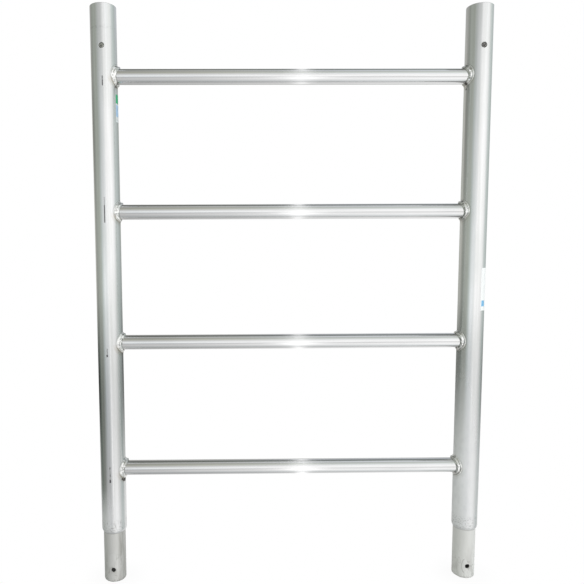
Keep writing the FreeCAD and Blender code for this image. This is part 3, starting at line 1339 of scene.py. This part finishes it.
@dataclass
class Upright:
    """An upright: a tube swaged on its spigot at the foot and open at the head."""

    sizes: FrameSizes
    side: Side
    foot_land: float = 0.6 * MM
    foot_round: float = 7 * MM
    foot_steps: int = 10
    foot_lead: float = 1 * MM
    swage_run: float = 30 * MM
    head_bevel: float = 0.5 * MM

    def build(self) -> bpy.types.Object:
        """Make and dress the upright.

        Returns:
            The piece.
        """
        sizes = self.sizes
        squeeze = sizes.bore_radius - sizes.seat_radius
        foot_radius = sizes.upright_radius - squeeze
        grip_top = sizes.swage_top - self.swage_run
        bevel = self.head_bevel
        foot_edge = (sizes.seat_radius + self.foot_land, sizes.foot)
        outside = arc_rows(foot_edge, (foot_radius, sizes.foot + self.foot_round), self.foot_steps)
        outside += [
            (foot_radius, sizes.foot + self.foot_round + self.foot_lead),
            (foot_radius, grip_top),
            (sizes.upright_radius, sizes.swage_top),
            (sizes.upright_radius, sizes.head - bevel),
            (sizes.upright_radius - bevel, sizes.head),
        ]
        inside = [
            (sizes.seat_radius, sizes.foot),
            (sizes.seat_radius, grip_top),
            (sizes.bore_radius, sizes.swage_top),
            (sizes.bore_radius, sizes.head - bevel),
            (sizes.bore_radius + bevel, sizes.head),
        ]
        name = f"upright_{self.side.word}"
        axis_x = sizes.axis_x(self.side)
        piece = TurnedTube(f"{name}_tube", axis_x, outside, inside, *sizes.head_hole).build()
        piece.data.materials.append(UprightDress(sizes, self.side).material())
        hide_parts(name)
        return piece


@dataclass(frozen=True)
class Dent:
    """A knock in the lower end of a spigot: its angle from the front in degrees, depth, width and height."""

    angle: float
    depth: float
    width: float
    height: float


SPIGOT_DENTS = {
    Side.LEFT: (Dent(150.0, 0.5 * MM, 18.0, 10 * MM), Dent(20.0, 0.3 * MM, 14.0, 6 * MM)),
    Side.RIGHT: (Dent(-62.0, 1.3 * MM, 16.0, 9 * MM), Dent(-20.0, 0.5 * MM, 12.0, 6 * MM)),
}


@dataclass
class Spigot:
    """A spigot: a tube held in the upright's foot, with a rounded and knocked lower end."""

    sizes: FrameSizes
    side: Side
    nose_land: float = 1.5 * MM
    nose_round: float = 3 * MM
    nose_steps: int = 8
    skirt_steps: int = 4
    hole_margin: float = 9 * MM
    shoulder_run: float = 2 * MM
    bore_rows: tuple[float, ...] = (0.0, 3 * MM, 7 * MM, 12 * MM)

    def knock(self, point: Vector) -> Vector:
        """Push a point of the tube in where the lower end is dented.

        Args:
            point: Where the point is on a perfect tube.

        Returns:
            Where it goes.
        """
        axis_x = self.sizes.axis_x(self.side)
        angle = math.degrees(math.atan2(point.x - axis_x, -point.y))
        depth = 0.0
        for dent in SPIGOT_DENTS[self.side]:
            away = (angle - dent.angle + HALF_TURN) % FULL_TURN - HALF_TURN
            depth += dent.depth * bell(away, dent.width) * bell(point.z, dent.height)
        inward = Vector((axis_x - point.x, -point.y, 0)).normalized()
        return point + inward * depth

    def build(self) -> bpy.types.Object:
        """Make and dress the spigot.

        Returns:
            The piece.
        """
        sizes = self.sizes
        nose_edge = (sizes.spigot_bore + self.nose_land, 0.0)
        outside = arc_rows(nose_edge, (sizes.spigot_radius, self.nose_round), self.nose_steps)
        skirt = sizes.spigot_hole[0] - self.hole_margin - self.nose_round
        for step in range(1, self.skirt_steps):
            outside.append((sizes.spigot_radius, self.nose_round + skirt * step / self.skirt_steps))
        outside += [
            (sizes.spigot_radius, sizes.foot - self.shoulder_run),
            (sizes.seat_radius, sizes.foot),
            (sizes.seat_radius, sizes.spigot_top),
        ]
        inside = [(sizes.spigot_bore, height) for height in (*self.bore_rows, sizes.spigot_top)]
        name = f"spigot_{self.side.word}"
        axis_x = sizes.axis_x(self.side)
        tube = TurnedTube(f"{name}_tube", axis_x, outside, inside, *sizes.spigot_hole, wear=self.knock)
        piece = tube.build()
        piece.data.materials.append(SpigotDress(sizes, self.side).material())
        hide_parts(name)
        return piece


@dataclass
class Rung:
    """A rung: a tube along X whose ends are coped to the round of the uprights.

    shares are the places of its rows along it, from -1 at the left end to 1 at the right.
    """

    sizes: FrameSizes
    number: int
    material: bpy.types.Material
    wall: float = 2 * MM
    segments: int = 96
    shares: tuple[float, ...] = (-1.0, -0.97, -0.5, 0.0, 0.5, 0.97, 1.0)

    def ring(self, piece: PieceMesh, radius: float, share: float) -> Ring:
        """Ring of the rung's wall.

        Args:
            piece: The mesh under construction.
            radius: Radius of the wall.
            share: Place along the rung.

        Returns:
            The ring.
        """
        sizes = self.sizes
        height = sizes.rung_height(self.number)
        points = []
        for turn in full_turn(self.segments):
            y = radius * math.cos(turn)
            reach = sizes.upright_x - math.sqrt(sizes.upright_radius ** 2 - y * y)
            points.append(Vector((share * reach, y, height + radius * math.sin(turn))))
        return piece.ring(points)

    def build(self) -> bpy.types.Object:
        """Make and dress the rung.

        Returns:
            The piece.
        """
        radius = self.sizes.rung_radius
        piece = PieceMesh()
        rings = [self.ring(piece, radius, share) for share in self.shares]
        rings += [self.ring(piece, radius - self.wall, share) for share in reversed(self.shares)]
        piece.close(rings)
        name = f"rung_{self.number}"
        made = piece.finish(f"{name}_tube")
        made.data.materials.append(self.material)
        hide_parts(name)
        return made


@dataclass
class WeldPair:
    """The two weld beads of a rung: convex, rippled rings that fill the corner round its ends.

    crest and rim are heights over the bead's face and places across it, from 0 at the upright to 1 at the
    rung. Sways are the shares by which its legs and crest vary, and mean is the middle height of a ripple.
    """

    sizes: FrameSizes
    number: int
    material: bpy.types.Material
    rung_leg: float = 6.4 * MM
    thinning: float = 0.55
    upright_sway: float = 0.1
    rung_sway: float = 0.08
    crest_sway: float = 0.18
    crest: Pair = (1.4 * MM, 0.62)
    crest_width: float = 0.20
    rim: Pair = (0.6 * MM, 0.13)
    rim_width: float = 0.08
    ripples: int = 24
    ripple_height: float = 0.35 * MM
    ripple_sweep: float = 2.2
    swells: int = 10
    swell_height: float = 1.2 * MM
    swell_sweep: float = 1.5
    mean: float = 0.6
    drift: float = 1.6
    lap_width: float = 0.22
    lap_rise: float = 0.3
    sink: float = 0.12 * MM
    steps: int = 408
    face_points: int = 18
    crease: float = 50.0
    wave_counts: tuple[int, ...] = (1, 2, 3, 5)
    wave_sizes: Pair = (0.2, 0.5)

    def wave(self, draw: random.Random) -> Callable[[float], float]:
        """A slow random unevenness round a bead.

        Args:
            draw: Source of the random numbers.

        Returns:
            A function of the angle round the bead, of about -1 to 1.
        """
        parts = []
        for count in self.wave_counts:
            parts.append((count, draw.uniform(0, math.tau), draw.uniform(*self.wave_sizes)))
        return lambda turn: sum(size * math.sin(count * turn + phase) for count, phase, size in parts)

    def section(self, side: Side, turn: float, unevenness: Pair, start: float) -> list[Vector]:
        """Closed section of a bead.

        Args:
            side: The upright that the bead lies on.
            turn: Angle round the rung.
            unevenness: How much wider and how much higher the bead is here.
            start: Angle where the welder started, and where the bead laps itself.

        Returns:
            Points of the section, from the corner round to the rung.
        """
        sizes = self.sizes
        wider, higher = unevenness
        big, small = sizes.upright_radius, sizes.rung_radius
        y, z = small * math.cos(turn), small * math.sin(turn)
        lean = math.asin(y / big)
        normal = Vector((math.cos(turn), math.sin(turn) / math.cos(lean))).normalized()
        leg = sizes.weld_reach * (1 + self.upright_sway * wider)
        over, rise = big * lean + leg * normal.x, z + leg * normal.y
        sunk = big - self.sink
        corner = Vector((big * math.cos(lean), y, z))
        upright_toe = Vector((sunk * math.cos(over / big), sunk * math.sin(over / big), rise))
        shrink = 1 - self.sink / small
        fullness = 1 - self.thinning * ((1 - math.sin(turn)) / 2) ** 2
        reach = corner.x + self.rung_leg * (fullness + self.rung_sway * higher)
        rung_toe = Vector((reach, y * shrink, z * shrink))
        chord = rung_toe - upright_toe
        out = (upright_toe + rung_toe) / 2 - corner
        out = (out - chord * (out.dot(chord) / chord.length_squared)).normalized()
        lap = bell((turn - start + math.pi) % math.tau - math.pi, self.lap_width)
        points = [corner, upright_toe]
        for index in range(1, self.face_points):
            share = index / self.face_points
            crest = bell(share - self.crest[1], self.crest_width)
            rim = bell(share - self.rim[1], self.rim_width)
            sweep = self.drift * wider + self.ripple_sweep * (2 * share - 1) ** 2
            ripple = abs(math.sin((self.ripples * turn + sweep) / 2)) - self.mean
            swell = abs(math.sin((self.swells * turn + self.swell_sweep * sweep) / 2)) - self.mean
            height = self.crest[0] * crest * (fullness + self.crest_sway * higher + self.lap_rise * lap)
            height += self.rim[0] * rim
            height += (self.ripple_height * ripple + self.swell_height * swell) * crest * fullness
            points.append(upright_toe + chord * share + out * height)
        points.append(rung_toe)
        axis_height = sizes.rung_height(self.number)
        inward = -side.value
        axis_x = sizes.axis_x(side)
        return [Vector((axis_x + inward * p.x, p.y, axis_height + p.z)) for p in points]

    def build(self) -> bpy.types.Object:
        """Make and dress the two beads.

        Returns:
            The piece.
        """
        piece = PieceMesh()
        draw = random.Random(self.number)
        for side in Side:
            wide, high = self.wave(draw), self.wave(draw)
            start = draw.uniform(0, math.tau)
            rings = []
            for turn in full_turn(self.steps):
                rings.append(piece.ring(self.section(side, turn, (wide(turn), high(turn)), start)))
            piece.close(rings)
        name = f"welds_{self.number}"
        made = piece.finish(f"{name}_beads", self.crease)
        made.data.materials.append(self.material)
        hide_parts(name)
        return made


class Tint(Enum):
    """Tints of the light that reaches the frame from each side."""

    WHITE = (1.0, 1.0, 1.0)
    GREEN = (0.94, 1.0, 0.91)
    CYAN = (0.91, 1.0, 0.98)
    PALE = (0.97, 1.0, 1.01)
    STRAW = (0.99, 1.0, 0.93)
    OLIVE = (0.98, 1.0, 0.89)
    LILAC = (0.96, 0.99, 1.07)
    STEEL = (0.96, 0.985, 1.05)
    TEAL = (0.88, 1.0, 0.97)


@dataclass(frozen=True)
class Glow:
    """How strong the light is at an angle in degrees, and its tint."""

    angle: float
    level: float
    tint: Tint

    @staticmethod
    def ramp(angle: Value, glows: "Sequence[Glow]") -> Value:
        """Colour of the light over a full turn.

        Args:
            angle: Angle from -180 to 180 degrees.
            glows: Levels of the light, in the order of their angles.

        Returns:
            The colour.
        """
        stops = []
        for glow in glows:
            colour = tuple(glow.level * share for share in glow.tint.value)
            stops.append((glow.angle / FULL_TURN + 0.5, colour))
        return angle.graph.node("ShaderNodeValToRGB", {"stops": stops}, {0: angle / FULL_TURN + 0.5})


GLOW_AROUND = (
    Glow(-180.0, 0.38, Tint.STRAW),
    Glow(-145.0, 0.48, Tint.STRAW),
    Glow(-128.0, 0.40, Tint.STRAW),
    Glow(-109.0, 0.27, Tint.GREEN),
    Glow(-90.0, 0.33, Tint.GREEN),
    Glow(-57.0, 0.33, Tint.GREEN),
    Glow(-44.0, 0.40, Tint.CYAN),
    Glow(-28.0, 0.57, Tint.PALE),
    Glow(-8.0, 0.68, Tint.PALE),
    Glow(6.0, 0.84, Tint.WHITE),
    Glow(22.0, 0.93, Tint.WHITE),
    Glow(34.0, 0.99, Tint.WHITE),
    Glow(52.0, 0.98, Tint.WHITE),
    Glow(67.0, 0.85, Tint.WHITE),
    Glow(91.0, 0.58, Tint.CYAN),
    Glow(118.0, 0.47, Tint.CYAN),
    Glow(146.0, 0.36, Tint.CYAN),
    Glow(180.0, 0.38, Tint.STRAW),
)
GLOW_OVER = (
    Glow(-180.0, 0.60, Tint.WHITE),
    Glow(-130.0, 0.64, Tint.WHITE),
    Glow(-108.0, 0.54, Tint.WHITE),
    Glow(-90.0, 0.44, Tint.PALE),
    Glow(-72.0, 0.59, Tint.PALE),
    Glow(-42.0, 0.78, Tint.WHITE),
    Glow(-15.0, 0.58, Tint.WHITE),
    Glow(12.0, 0.76, Tint.WHITE),
    Glow(26.0, 0.72, Tint.WHITE),
    Glow(42.0, 0.58, Tint.OLIVE),
    Glow(56.0, 0.47, Tint.OLIVE),
    Glow(66.0, 0.41, Tint.OLIVE),
    Glow(74.0, 0.46, Tint.STRAW),
    Glow(82.0, 0.58, Tint.WHITE),
    Glow(92.0, 0.46, Tint.GREEN),
    Glow(100.0, 0.27, Tint.GREEN),
    Glow(108.0, 0.17, Tint.GREEN),
    Glow(124.0, 0.18, Tint.GREEN),
    Glow(142.0, 0.42, Tint.WHITE),
    Glow(180.0, 0.60, Tint.WHITE),
)


@dataclass(frozen=True)
class Bloom:
    """A soft patch of light or, with a strength below 0, of shade: its place and spread in degrees."""

    azimuth: float
    azimuth_spread: float
    rise: float
    rise_spread: float
    strength: float

    def light(self, azimuth: Value, rise: Value) -> Value:
        """Share by which the patch lifts or lowers the light."""
        across = azimuth.hump(self.azimuth, self.azimuth_spread)
        return across * rise.hump(self.rise, self.rise_spread) * self.strength


BLOOMS = (
    Bloom(-55.0, 40.0, -1.0, 9.0, 0.30),
    Bloom(-28.0, 24.0, -5.0, 4.5, 0.42),
    Bloom(-42.0, 18.0, -11.0, 5.0, 0.30),
    Bloom(-30.0, 26.0, -5.0, 1.6, 0.25),
    Bloom(2.0, 26.0, -6.0, 3.0, 0.13),
    Bloom(-85.0, 14.0, -11.5, 3.5, 0.30),
    Bloom(45.0, 30.0, -24.0, 8.0, -0.26),
    Bloom(112.0, 30.0, -14.0, 4.5, -0.24),
    Bloom(152.0, 22.0, -12.0, 6.0, -0.45),
    Bloom(-138.0, 34.0, -14.0, 8.0, -0.34),
    Bloom(-124.0, 16.0, 11.0, 6.0, -0.50),
)


@dataclass(frozen=True)
class Dome:
    """Soft light from all round, banded as a room with a window at the front right would be.

    Directions are in degrees: azimuth from the front towards +X, rise over level, roll from the front over
    the top, and aside, the lean towards +X. A span of angles runs from where a change starts to where it is
    full, or gives the middle and the width of a hump. A pair of depths or widths is the least, and what is
    added to it.
    """

    strength: float = 1.25
    dull_fill: float = 0.6
    left_azimuth: Pair = (0.0, -60.0)
    low_rise: Pair = (-4.5, -10.0)
    low_depth: Pair = (0.16, 0.26)
    dip_rise: Pair = (-13.0, 4.5)
    dip_depth: Pair = (0.18, 0.08)
    foot_rise: Pair = (-15.0, -20.0)
    foot_azimuth: Pair = (40.0, 0.0)
    foot_lift: float = 0.18
    steel_rise: Pair = (-6.0, -16.0)
    steel_azimuth: Pair = (-30.0, 30.0)
    teal_rise: Pair = (-5.0, -11.0)
    teal_azimuth: Pair = (-80.0, -112.0)
    lean_aside: Pair = (-20.0, 26.0)
    lean_depth: Pair = (0.6, 0.65)
    lilac_aside: Pair = (-5.0, 12.0)
    lilac_roll: Pair = (15.0, 45.0)
    steep_rise: Pair = (12.0, 26.0)
    steep_aside: Pair = (62.0, 38.0)
    glint_aside: float = 7.1
    glint_roll: Pair = (-30.0, 20.0)
    glint_widths: Pair = (0.45, 1.3)
    glint_ends: Pair = (165.0, 140.0)
    glint_share: float = 0.75
    glint_tone: Colour = (1.4, 1.4, 1.4)
    wing_width: float = 5.0
    wing_roll: Pair = (-20.0, 45.0)
    wing_share: float = 0.2

    def level_light(self, azimuth: Value, rise: Value) -> Value:
        """Light from about the height of the frame, which its uprights reflect.

        Args:
            azimuth: Azimuth of the direction.
            rise: Rise of the direction.

        Returns:
            Its colour.
        """
        left = azimuth.over(*self.left_azimuth)
        low = rise.over(*self.low_rise) * left.raised(*self.low_depth)
        dip = rise.hump(*self.dip_rise) * left.raised(*self.dip_depth)
        foot = rise.over(*self.foot_rise) * (1 - left) * azimuth.over(*self.foot_azimuth)
        lift = 1 - (low + dip) + foot * self.foot_lift
        for bloom in BLOOMS:
            lift = lift + bloom.light(azimuth, rise)
        steel = rise.over(*self.steel_rise) * azimuth.hump(*self.steel_azimuth)
        teal = rise.over(*self.teal_rise) * azimuth.over(*self.teal_azimuth)
        cast = teal.mix(steel.mix(Tint.WHITE.value, Tint.STEEL.value), Tint.TEAL.value)
        return Glow.ramp(azimuth, GLOW_AROUND).scaled(lift).times(cast)

    def steep_light(self, roll: Value, aside: Value) -> Value:
        """Light from above and below, which the rungs reflect.

        Args:
            roll: Roll of the direction.
            aside: Lean of the direction towards +X.

        Returns:
            Its colour.
        """
        lean = aside.over(*self.lean_aside).raised(*self.lean_depth)
        lilac = aside.over(*self.lilac_aside) * roll.over(*self.lilac_roll)
        cast = lilac.mix(Tint.WHITE.value, Tint.LILAC.value)
        return Glow.ramp(roll, GLOW_OVER).scaled(lean).times(cast)

    def light(self, direction: Value) -> Value:
        """Light of the whole room.

        Args:
            direction: Where the light comes from.

        Returns:
            Its colour.
        """
        x, y, z = direction.parts()
        ahead = y * -1
        azimuth, roll = x.turn_from(ahead), z.turn_from(ahead)
        aside, rise = x.math("ARCSINE") * DEGREES, z.math("ARCSINE") * DEGREES
        steep = abs(rise).over(*self.steep_rise) * abs(aside).over(*self.steep_aside)
        width = roll.hump(*self.glint_roll).raised(*self.glint_widths)
        glint = aside.hump(self.glint_aside, width) * abs(roll).over(*self.glint_ends) * self.glint_share
        wings = aside.hump(self.glint_aside, self.wing_width) * roll.hump(*self.wing_roll) * self.wing_share
        light = steep.mix(self.level_light(azimuth, rise), self.steep_light(roll, aside))
        return glint.mix(wings.mix(light, Tint.WHITE.value), self.glint_tone)

    def build(self) -> None:
        """Light the scene; the camera sees white, and bare metal takes its form from the room it reflects."""
        world = bpy.data.worlds.new("studio")
        bpy.context.scene.world = world
        graph = Graph(world)
        direction = graph.node("ShaderNodeTexCoord", output="Generated")
        seen = graph.node("ShaderNodeLightPath", output="Is Camera Ray")
        white_rays = seen.math("MAXIMUM", seen.other("Is Transmission Ray"))
        strength = (seen.other("Is Diffuse Ray") * self.dull_fill + 1) * self.strength
        inputs = {"Color": self.light(direction), "Strength": strength}
        room = graph.node("ShaderNodeBackground", inputs=inputs)
        white = graph.node("ShaderNodeBackground", inputs={"Color": WHITE, "Strength": 1.0})
        shader = graph.node("ShaderNodeMixShader", inputs={0: white_rays, 1: room, 2: white})
        graph.node("ShaderNodeOutputWorld", inputs={"Surface": shader})


@dataclass
class Studio:
    """The pale floor, the soft light and the camera."""

    sizes: FrameSizes
    dome: Dome = Dome()
    floor_half: float = 4.0
    floor_drop: float = 0.2 * MM
    floor_tone: Colour = (0.80, 0.80, 0.79)
    shadow_reach: float = 0.08
    shadow_depth: float = 0.07
    camera_place: Triple = (-0.126311, -1.11878, 0.654212)
    camera_turn: Triple = (85.0659, 0.2650, -0.6229)
    sensor: float = 36.0
    lens: float = 35.8311
    shift: Pair = (0.10337, 0.01232)

    def floor(self) -> None:
        """Make the floor: white to the camera, with a trace of the object's shadow."""
        half = self.floor_half
        data = bpy.data.meshes.new("floor")
        signs = ((-1, -1), (1, -1), (1, 1), (-1, 1))
        data.from_pydata([(half * x, half * y, -self.floor_drop) for x, y in signs], [], [(0, 1, 2, 3)])
        floor = bpy.data.objects.new("floor", data)
        bpy.context.scene.collection.objects.link(floor)
        material = bpy.data.materials.new("floor_paper")
        graph = Graph(material)
        seen = graph.node("ShaderNodeLightPath", output="Is Camera Ray")
        from_foot = self.sizes.from_upright_axis(graph.place())
        shadow = from_foot.over(self.shadow_reach, 0.0) * self.shadow_depth
        paper = graph.node("ShaderNodeBsdfDiffuse", inputs={"Color": (*self.floor_tone, 1.0)})
        white = graph.node("ShaderNodeEmission", inputs={"Color": WHITE})
        shader = graph.node("ShaderNodeMixShader", inputs={0: seen * (1 - shadow), 1: paper, 2: white})
        graph.node("ShaderNodeOutputMaterial", inputs={"Surface": shader})
        data.materials.append(material)
        floor.visible_glossy = False
        floor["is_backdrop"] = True

    def camera(self) -> None:
        """Stand the camera at the photograph's point of view."""
        data = bpy.data.cameras.new("camera")
        data.sensor_width = self.sensor
        data.lens = self.lens
        data.shift_x, data.shift_y = self.shift
        camera = bpy.data.objects.new("camera", data)
        camera.location = self.camera_place
        camera.rotation_euler = [math.radians(turn) for turn in self.camera_turn]
        bpy.context.scene.collection.objects.link(camera)
        bpy.context.scene.camera = camera

    def build(self) -> None:
        """Set up the whole studio."""
        bpy.context.scene.view_settings.view_transform = "Standard"
        self.floor()
        self.dome.build()
        self.camera()


def write_sizes() -> None:
    """Gather the CAD model's box and the visual model's box as plain lists."""
    boxes = {"cad": CAD_BOX, "visual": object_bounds()}
    plain = {name: [list(corner) for corner in box] for name, box in boxes.items()}


def main() -> None:
    """Build the frame piece by piece, then the studio round it."""
    logging.basicConfig(level=logging.INFO, format="%(name)s: %(message)s")
    sizes = FrameSizes.read()
    rung_material = RungDress(sizes).material()
    bead_material = BeadDress(sizes).material()
    assemblies: list[Upright | Spigot | Rung | WeldPair] = []
    for side in Side:
        assemblies += [Upright(sizes, side), Spigot(sizes, side)]
    for number in range(1, RUNG_COUNT + 1):
        assemblies += [Rung(sizes, number, rung_material), WeldPair(sizes, number, bead_material)]
    for assembly in assemblies:
        piece = assembly.build()
        LOG.info("%s: %d faces", piece.name, len(piece.data.polygons))
    Studio(sizes).build()
    write_sizes()


if __name__ == "__main__":
    main()
